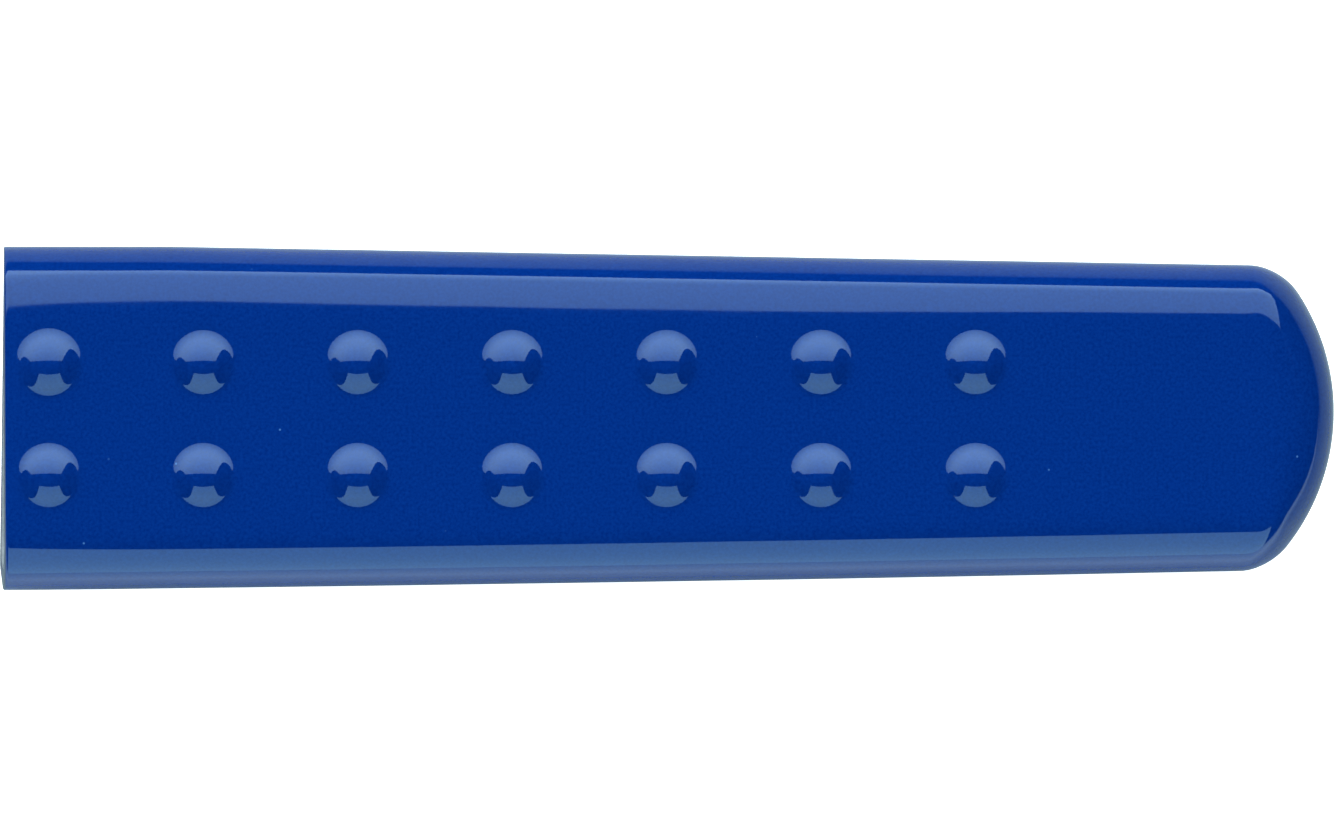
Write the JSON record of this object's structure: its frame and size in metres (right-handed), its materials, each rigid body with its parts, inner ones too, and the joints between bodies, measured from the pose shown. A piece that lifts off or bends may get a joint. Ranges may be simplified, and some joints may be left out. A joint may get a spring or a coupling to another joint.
{
  "type": "flat hand grip sleeve",
  "caption": "Flat tapered soft vinyl hand-grip sleeve with raised round dots on its front, open at the mouth and closed and rounded at the tip.",
  "frame": {"origin": "centre of the footprint, on the flat back face that the sleeve lies on", "axes": "+X along the sleeve from the open mouth to the closed tip, +Y across its width, +Z out of the front face with the bumps"},
  "size_m": [0.1143, 0.0294, 0.0113],
  "materials": {
    "blue_vinyl": "high-gloss dip-moulded soft PVC, deep blue, coloured right through, with slight waviness and a few tiny specks"
  },
  "bodies": {
    "root": {"grip_sleeve": "blue_vinyl"}
  },
  "joints": []
}
